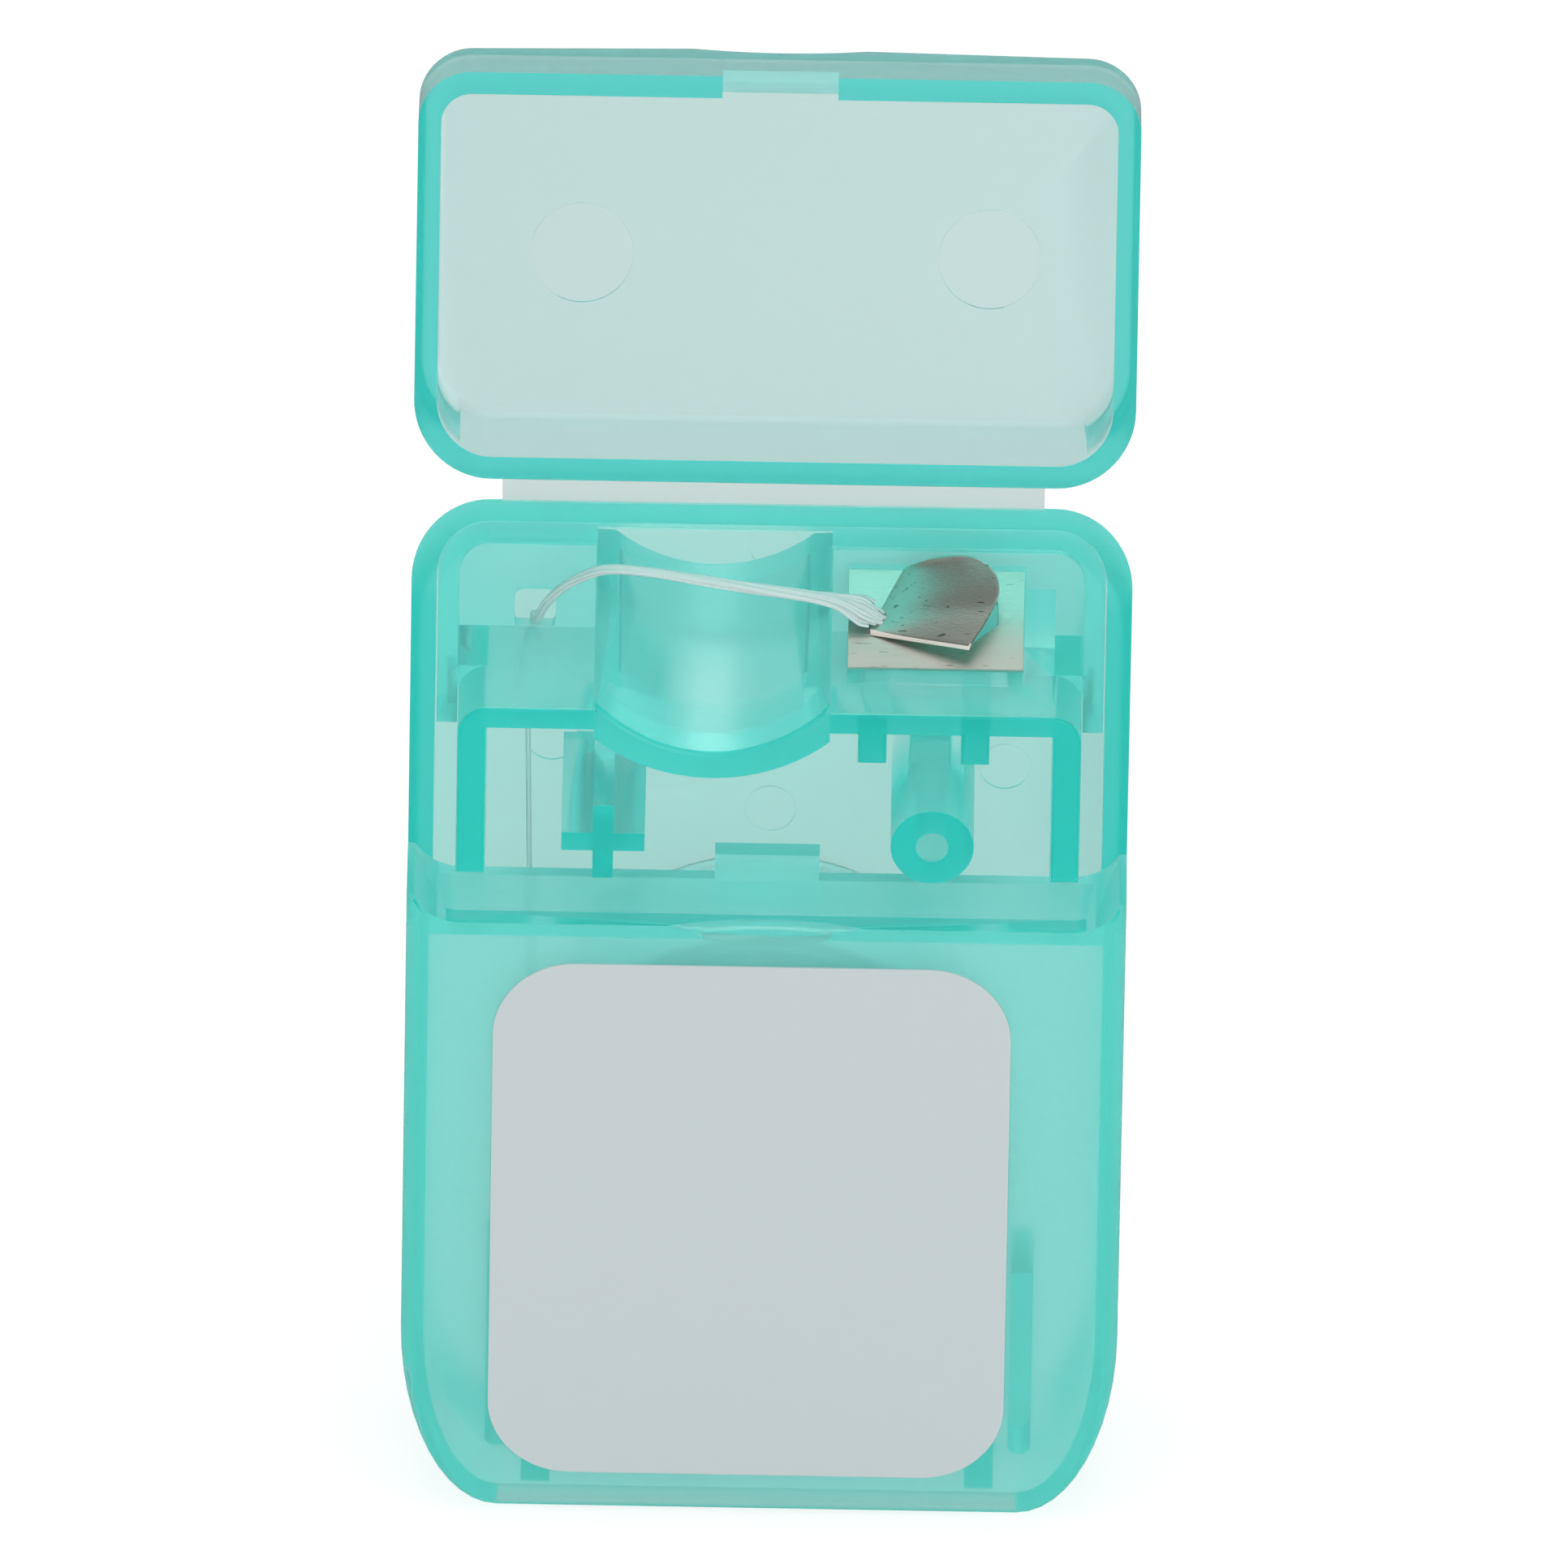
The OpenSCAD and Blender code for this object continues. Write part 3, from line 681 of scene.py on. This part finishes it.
# %% Cutter plate
PLATE = Vector((8.55, 5.4, 0.25)) * MM
DECK_SLOPE = math.radians(32.5)
HOLE = ((1.8, 2.9), (5.9, 1.3), (7.3, 2.5), (7.25, 3.7), (6.1, 4.7), (3.3, 4.7))
PRISM_DEPTH = 3 * MM
PUNCHED_EDGE = 0.03 * MM

bpy.ops.mesh.primitive_cube_add(size=1)
cutter = bpy.context.object
cutter.name = "cutter_sheet"
cutter.data.transform(Matrix.Translation(PLATE / 2) @ Matrix.Diagonal((*PLATE, 1)))

bpy.ops.mesh.primitive_circle_add(vertices=len(HOLE), radius=1, fill_type="NGON")
prism = bpy.context.object
for corner, (x, y) in zip(prism.data.vertices, HOLE):
    corner.co = Vector((x, y, -1)) * MM
apply_modifier(prism, "SOLIDIFY", thickness=PRISM_DEPTH, offset=0)
apply_modifier(cutter, "BOOLEAN", object=prism, operation="DIFFERENCE", solver="EXACT")
bpy.data.objects.remove(prism)
apply_modifier(cutter, "BEVEL", width=PUNCHED_EDGE, segments=2, limit_method="ANGLE")
print("plate", len(cutter.data.polygons), "faces")

# %% [markdown]
# The outline of the tongue
#
# The tongue rises from the plate in one smooth bend along its left side and
# ends flat over the plate, so that floss slides under its corner. Its four
# edges are drawn as smooth curves through a few points, and a sheet is
# stretched between them, as a tailor fits cloth between four seams.

# %% Tongue outline
ROOT = ((1.1, 1.9, 0.3), (1.5, 2.75, 0.1), (2.16, 4.05, 0.08), (2.8, 5.25, 0.08))
LOWER = ((1.1, 1.9, 0.3), (2.7, 1.5, 0.6), (4.3, 1.1, 0.9), (5.9, 0.7, 1.2))
FREE = ((5.9, 0.7, 1.2), (6.6, 1.75, 1.5), (7.1, 2.7, 1.73), (7.33, 3.4, 2.0),
        (7.1, 4.3, 2.25), (6.4, 4.9, 2.38), (5.6, 5.15, 2.4))
UPPER = ((2.8, 5.25, 0.08), (3.2, 5.25, 1.0), (3.9, 5.25, 1.75), (4.7, 5.2, 2.2),
         (5.6, 5.15, 2.4))


def curve_at(points, share):
    """The point at a share of the way along a smooth curve through some points."""
    last = len(points) - 1
    start = min(int(share * last), last - 1)
    u = share * last - start
    a, b, c, d = (Vector(points[max(0, min(last, start + step))]) for step in (-1, 0, 1, 2))
    bend = (2 * a - 5 * b + 4 * c - d) * u * u / 2
    twist = (3 * b - a - 3 * c + d) * u ** 3 / 2
    return b + (c - a) * u / 2 + bend + twist


def patch_at(s, t):
    """A point of the sheet between root and free edge (s), and lower and upper edge (t)."""
    up = curve_at(LOWER, s).lerp(curve_at(UPPER, s), t)
    across = curve_at(ROOT, t).lerp(curve_at(FREE, t), s)
    lower_line = Vector(LOWER[0]).lerp(Vector(LOWER[-1]), s)
    upper_line = Vector(UPPER[0]).lerp(Vector(UPPER[-1]), s)
    return (up + across - lower_line.lerp(upper_line, t)) * MM


print("tongue top", round(max(z for x, y, z in FREE), 2), "mm over the plate")

# %% [markdown]
# The cutter's tongue
#
# A fine grid takes that shape and is thickened to the strip's 0.25 mm. The
# shear leaves the lower edge slanted, so its lower line is moved out a little,
# and its faces are marked for the torn edge's painted highlight. Then plate
# and tongue are joined.

# %% Cutter tongue
TONGUE_GRID = 28
SHEARED_EDGE = 0.14 * MM
ON_LOWER_EDGE_MM = 0.02
LOWER_EDGE_REACH = 2.2 * MM
SLANTS_FRONT = 0.4
SLANTS_UP = 0.2

bpy.ops.mesh.primitive_grid_add(
    x_subdivisions=TONGUE_GRID, y_subdivisions=TONGUE_GRID, size=1)
tongue = bpy.context.object
for point in tongue.data.vertices:
    point.co = patch_at(point.co.x + 0.5, point.co.y + 0.5)
apply_modifier(tongue, "SOLIDIFY", thickness=PLATE.z, offset=1)
for point in tongue.data.vertices:
    along = (point.co.x / MM - LOWER[0][0]) / (LOWER[-1][0] - LOWER[0][0])
    edge = Vector(LOWER[0]).lerp(Vector(LOWER[-1]), along)
    if (point.co / MM - edge).length < ON_LOWER_EDGE_MM:
        point.co.y -= SHEARED_EDGE
tongue.data.update()
# These slanted faces of the torn edge get the painted highlight.
torn_highlight_faces = tongue.data.attributes.new("sheared_highlight", "FLOAT", "FACE")
for face in tongue.data.polygons:
    slanted = face.normal.y < -SLANTS_FRONT and face.normal.z > SLANTS_UP
    torn_highlight_faces.data[face.index].value = slanted and face.center.y < LOWER_EDGE_REACH
apply_modifier(tongue, "BEVEL", width=PUNCHED_EDGE, segments=2, limit_method="ANGLE")

cutter_low, cutter_high = box_of("cutter")
plate_corner = Vector((
    cutter_low.x, cutter_high.y - PLATE.y * math.cos(DECK_SLOPE), cutter_low.z))
on_deck = Matrix.Translation(plate_corner) @ Matrix.Rotation(DECK_SLOPE, 4, "X")
pick(cutter)
tongue.select_set(True)
bpy.ops.object.join()
cutter.data.transform(on_deck)
smooth(cutter)
dress(cutter, "cutter", "case", brushed_steel)

# %% [markdown]
# The way of the floss
#
# The floss climbs from the winding behind the left panel, comes out of the
# outlet, crosses the trough and ends under the cutter's corner. Its way is a
# smooth curve through points in millimetres. Wax holds the bundle round, and
# it lies flat and spreads where its end is torn.

# %% Floss route
ROUTE = (
    (-11.3, 0.95, 20.4), (-11.4, 1.05, 24), (-11.5, 1.35, 28), (-11.6, 1.95, 32),
    (-11.7, 2.95, 36), (-11.8, 4.05, 40), (-11.8, 4.55, 42.6), (-11.6, 4.45, 44.4),
    (-11.5, 3.65, 44.9), (-11.4, 2.75, 45.2), (-11, 2.15, 46.4), (-10.2, 1.65, 47.6),
    (-9.2, 1.25, 48.5), (-8, 0.95, 49.1), (-6, 0.75, 49.1), (-4, 0.55, 48.9),
    (-2, 0.35, 48.7), (0, 0.15, 48.5), (2, 0.05, 48.25), (3.2, 0.1, 48.0),
    (4.4, 0.15, 47.55), (5.6, 0.26, 46.95))
HALF_WIDTH = (0.05,) * 8 + (0.14, 0.16, 0.17, 0.18, 0.2, 0.2, 0.21, 0.22, 0.23, 0.25,
                            0.28, 0.42, 0.85, 0.5)
HALF_THICKNESS = (0.1,) * 8 + (0.13,) * 10 + (0.15, 0.2, 0.3, 0.06)


def value_at(values, share):
    """The value at a share of the way along evenly spaced values."""
    last = len(values) - 1
    start = min(int(share * last), last - 1)
    u = share * last - start
    return values[start] * (1 - u) + values[start + 1] * u


floss_length = sum((Vector(b) - Vector(a)).length for a, b in zip(ROUTE, ROUTE[1:]))
print("floss from winding to cutter", round(floss_length, 1), "mm")

# %% [markdown]
# One fibre in the bundle
#
# Every fibre follows the same way at its own place in the bundle, and the
# bundle turns slowly a little more than once round, as floss does when it
# leaves a bobbin. The bundle lies flat on a plane that slopes as the deck does.

# %% Fibre in the bundle
TWISTS = 1.2
NEARBY = 0.01
FLAT_SIDE = Vector((0, -math.sin(DECK_SLOPE), math.cos(DECK_SLOPE)))


def fibre_point(share, angle, reach):
    """Where a fibre is at a share of the route, by its angle and reach in the bundle."""
    middle = curve_at(ROUTE, share)
    ahead = curve_at(ROUTE, min(1, share + NEARBY)) - curve_at(ROUTE, max(0, share - NEARBY))
    across = FLAT_SIDE.cross(ahead).normalized()
    over = ahead.cross(across).normalized()
    turned = angle + 2 * math.pi * TWISTS * share
    side = across * value_at(HALF_WIDTH, share) * math.cos(turned)
    rise = over * value_at(HALF_THICKNESS, share) * math.sin(turned)
    return (middle + (side + rise) * reach) * MM


print("twists on the way:", TWISTS)

# %% [markdown]
# The bundle
#
# Real floss has some hundred filaments of 0.02 mm, which are too fine to
# show, so 46 fibres of 0.17 mm stand for them. Each one ends a little before
# or after its neighbours, and sooner at the rim, so the torn end frays.

# %% Floss bundle
FIBRES = 46
FIBRE_R = 0.085 * MM
STEPS = 150
SHORTEST = 0.99
SHORTER_AT_RIM = 0.035
NEAREST_MIDDLE = 0.02
LOOSENESS = 0.05
WANDER_PACE = 40

random.seed(7)
bundle = bpy.data.curves.new("floss_fibres", "CURVE")
bundle.dimensions = "3D"
bundle.bevel_depth = FIBRE_R
bundle.bevel_resolution = 1
bundle.use_fill_caps = True
for number in range(FIBRES):
    angle = random.uniform(0, 2 * math.pi)
    reach = math.sqrt(random.uniform(NEAREST_MIDDLE, 1))
    end = random.uniform(SHORTEST, 1) - SHORTER_AT_RIM * reach ** 2
    wander = random.uniform(0, 2 * math.pi)
    fibre = bundle.splines.new("POLY")
    fibre.points.add(STEPS)
    for step, point in enumerate(fibre.points):
        share = end * step / STEPS
        loose = reach + LOOSENESS * math.sin(WANDER_PACE * share + wander)
        point.co = (*fibre_point(share, angle, loose), 1)
floss = bpy.data.objects.new("floss_fibres", bundle)
bpy.context.scene.collection.objects.link(floss)
pick(floss)
bpy.ops.object.convert(target="MESH")
floss = bpy.context.object
bpy.ops.object.shade_smooth()
dress(floss, "floss_strand", "case", waxed_floss)

# %% [markdown]
# The profile of the winding
#
# About 11 m of floss is wound on the core. Its profile has a small round bump
# for every wrap across the rim and, on the two sides, a finer row of bumps
# where the layers end. Real wraps are finer: the bumps are drawn as coarse as
# they need to be to show.

# %% Winding profile
WRAPS = 12
LAYERS = 10
WRAP_HEIGHT = 0.2 * MM
LAYER_HEIGHT = 0.12 * MM
BUMP_STEPS = 5
CORE_GAP = 0.02 * MM

winding_low, winding_high = box_of("floss_winding")
core_low, core_high = box_of("bobbin_core")
axis = (winding_low + winding_high) / 2
rim_r = (winding_high.z - winding_low.z) / 2
core_r = (core_high.z - core_low.z) / 2 + CORE_GAP
half_width = (winding_high.y - winding_low.y) / 2


def bumps(start, end, count, height, outward):
    """Points of a row of round bumps from start to end, each a share of a circle high."""
    points = []
    for step in range(count * BUMP_STEPS):
        share = step / (count * BUMP_STEPS)
        rise = abs(math.sin(math.pi * share * count)) * height
        points.append(start.lerp(end, share) + outward * (rise - height))
    return points


corners = [Vector((core_r, -half_width, 0)), Vector((rim_r, -half_width, 0)),
           Vector((rim_r, half_width, 0)), Vector((core_r, half_width, 0))]
profile = bumps(corners[0], corners[1], LAYERS, LAYER_HEIGHT, Vector((0, -1, 0)))
profile += bumps(corners[1], corners[2], WRAPS, WRAP_HEIGHT, Vector((1, 0, 0)))
profile += bumps(corners[2], corners[3], LAYERS, LAYER_HEIGHT, Vector((0, 1, 0)))
print("winding", round(2 * rim_r / MM, 1), "mm across,", len(profile), "points")

# %% [markdown]
# The floss on its bobbin
#
# A circle's points are moved onto the profile, and the profile is spun about
# the bobbin's axis, as a potter turns a shape. The seam's doubled points are
# merged and the faces are made to point outwards.

# %% Floss winding
SPIN_STEPS = 160
WRAP_ANGLE = math.radians(60)

bpy.ops.mesh.primitive_circle_add(vertices=len(profile), radius=1, fill_type="NOTHING")
winding = bpy.context.object
winding.name = "wound_floss"
for point, place in zip(winding.data.vertices, profile):
    point.co = axis + Vector((place.x, place.y, 0))
edit(winding)
bpy.ops.mesh.select_all(action="SELECT")
bpy.ops.mesh.spin(steps=SPIN_STEPS, angle=2 * math.pi, center=axis, axis=(0, 1, 0))
bpy.ops.mesh.select_all(action="SELECT")
bpy.ops.mesh.remove_doubles(threshold=SAME_POINT)
bpy.ops.mesh.normals_make_consistent(inside=False)
bpy.ops.object.mode_set(mode="OBJECT")
smooth(winding, WRAP_ANGLE)
dress(winding, "floss_winding", "bobbin", waxed_floss)

# %% [markdown]
# The bobbin's core and the label
#
# The CAD tube and the CAD label already have the right shapes, so they only
# get their surfaces. The label is a plain square of paper with round corners.

# %% Core and label
paint(frame["nodes"]["bobbin_core"], white_plastic)
paint(frame["nodes"]["label"], label_paper)
label_size = box_of("label")[1] - box_of("label")[0]
print("label", [round(side / MM, 1) for side in label_size], "mm")

# %% [markdown]
# The living hinge
#
# The lid hangs on a thin web moulded in one with it. The web bends when the
# lid closes, so it is cut into strips across its bend.

# %% Living hinge
WEB_STRIPS = 8

web = shell_copy("living_hinge")
web_low, web_high = box_of("living_hinge")
for i in range(1, WEB_STRIPS):
    height = web_low.z + (web_high.z - web_low.z) * i / WEB_STRIPS
    split_at(web, (0, 0, height), (0, 0, 1))
smooth(web)
paint(web, web_plastic)
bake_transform(web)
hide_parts("living_hinge")
print("web", len(web.data.polygons), "faces")

# %% [markdown]
# The floor
#
# The photograph has a plain white ground. The floor shines by itself for the
# eye, and is a little greyer through the plastic, as a lit studio is. Steel
# mirrors a dimmer floor, which keeps the tongue dark. Rays through satin
# plastic count as mirrored ones too, so their share comes last.

# %% Floor
FLOOR_SIZE = 6
FLOOR_WHITE = "#F4F4F4"
GLOW_SHARE = 0.75
SEEN_THROUGH = 0.86
SEEN_TINT = "#FFF3F3"
MIRRORED_FLOOR = 0.35
MIRRORED_TINT = "#EAF6F0"

bpy.ops.mesh.primitive_plane_add(size=FLOOR_SIZE, location=(0, 0, 0))
floor = bpy.context.object
floor.name = "floor"
white_floor, tree, output = new_material("white_floor")
path = node(tree, "ShaderNodeLightPath")
matt = node(tree, "ShaderNodeBsdfDiffuse", {"Color": linear(FLOOR_WHITE)})
glow = node(tree, "ShaderNodeEmission", {"Color": linear("#FFFFFF"), "Strength": 1.0})
grey = node(tree, "ShaderNodeEmission", {"Color": linear(SEEN_TINT), "Strength": SEEN_THROUGH})
dim = node(tree, "ShaderNodeEmission", {
    "Color": linear(MIRRORED_TINT), "Strength": MIRRORED_FLOOR})
ground = node(tree, "ShaderNodeMixShader", {0: GLOW_SHARE}, {
    1: matt.outputs[0], 2: glow.outputs[0]})
direct = node(tree, "ShaderNodeMixShader", {}, {
    0: path.outputs["Is Camera Ray"], 1: matt.outputs[0], 2: ground.outputs[0]})
mirror = node(tree, "ShaderNodeMixShader", {}, {
    0: path.outputs["Is Glossy Ray"], 1: direct.outputs[0], 2: dim.outputs[0]})
any_ray = node(tree, "ShaderNodeMixShader", {}, {
    0: path.outputs["Is Transmission Ray"], 1: mirror.outputs[0], 2: grey.outputs[0]})
tree.links.new(any_ray.outputs[0], output.inputs["Surface"])
paint(floor, white_floor)
print("floor", FLOOR_SIZE, "m")

# %% [markdown]
# The room
#
# The room is white to the eye and as a light. Steel mirrors a room that is
# bright overhead and darker around, which makes the flat plate bright and the
# tongue dark. The same grey as on the floor is seen through the plastic.

# %% Room
OVERHEAD = (0.86, 0.99)
AROUND_AND_OVERHEAD_LIGHT = (0.17, 0.95)

world = bpy.data.worlds.new("white_room")
bpy.context.scene.world = world
world.use_nodes = True
tree = world.node_tree
tree.nodes.clear()
path = node(tree, "ShaderNodeLightPath")
direction = node(tree, "ShaderNodeTexCoord")
upwards = node(tree, "ShaderNodeSeparateXYZ", {}, {0: direction.outputs["Generated"]})
ceiling = node(tree, "ShaderNodeMapRange", {
    "interpolation_type": "SMOOTHSTEP", "From Min": OVERHEAD[0], "From Max": OVERHEAD[1],
    "To Min": AROUND_AND_OVERHEAD_LIGHT[0], "To Max": AROUND_AND_OVERHEAD_LIGHT[1]},
    {"Value": upwards.outputs["Z"]})
white = node(tree, "ShaderNodeBackground", {"Color": linear("#FFFFFF"), "Strength": 1.0})
mirrored = node(tree, "ShaderNodeBackground", {"Color": linear("#FFFFFF")},
                {"Strength": ceiling.outputs[0]})
grey = node(tree, "ShaderNodeBackground", {"Color": linear(SEEN_TINT), "Strength": SEEN_THROUGH})
around = node(tree, "ShaderNodeMixShader", {}, {
    0: path.outputs["Is Glossy Ray"], 1: white.outputs[0], 2: mirrored.outputs[0]})
any_ray = node(tree, "ShaderNodeMixShader", {}, {
    0: path.outputs["Is Transmission Ray"], 1: around.outputs[0], 2: grey.outputs[0]})
node(tree, "ShaderNodeOutputWorld", {}, {"Surface": any_ray.outputs[0]})
print("mirrored light around and overhead:", AROUND_AND_OVERHEAD_LIGHT)

# %% [markdown]
# The lamps
#
# A wide lamp overhead gives the soft light, and one in front gives the small
# highlights on the plastic's rounded edges. The steel would mirror the lamp
# overhead as a hard patch, so that one is hidden from mirrored rays.

# %% Lamps
LAMPS = {
    "overhead": {"place": (0, -0.1, 0.75), "size": 0.35, "power": 2.2, "mirrored": False},
    "front": {"place": (0.25, -0.7, 0.2), "size": 0.45, "power": 1.6, "mirrored": True},
}

for name, lamp in LAMPS.items():
    light = bpy.data.lights.new(name, "AREA")
    light.size = lamp["size"]
    light.energy = lamp["power"]
    lamp_object = bpy.data.objects.new(name, light)
    bpy.context.scene.collection.objects.link(lamp_object)
    lamp_object.visible_glossy = lamp["mirrored"]
    aim = (Vector(lamp["place"]) - LOOK_AT).to_track_quat("Z", "Y").to_matrix().to_4x4()
    lamp_object.matrix_world = Matrix.Translation(lamp["place"]) @ aim
print("lamps:", list(LAMPS))
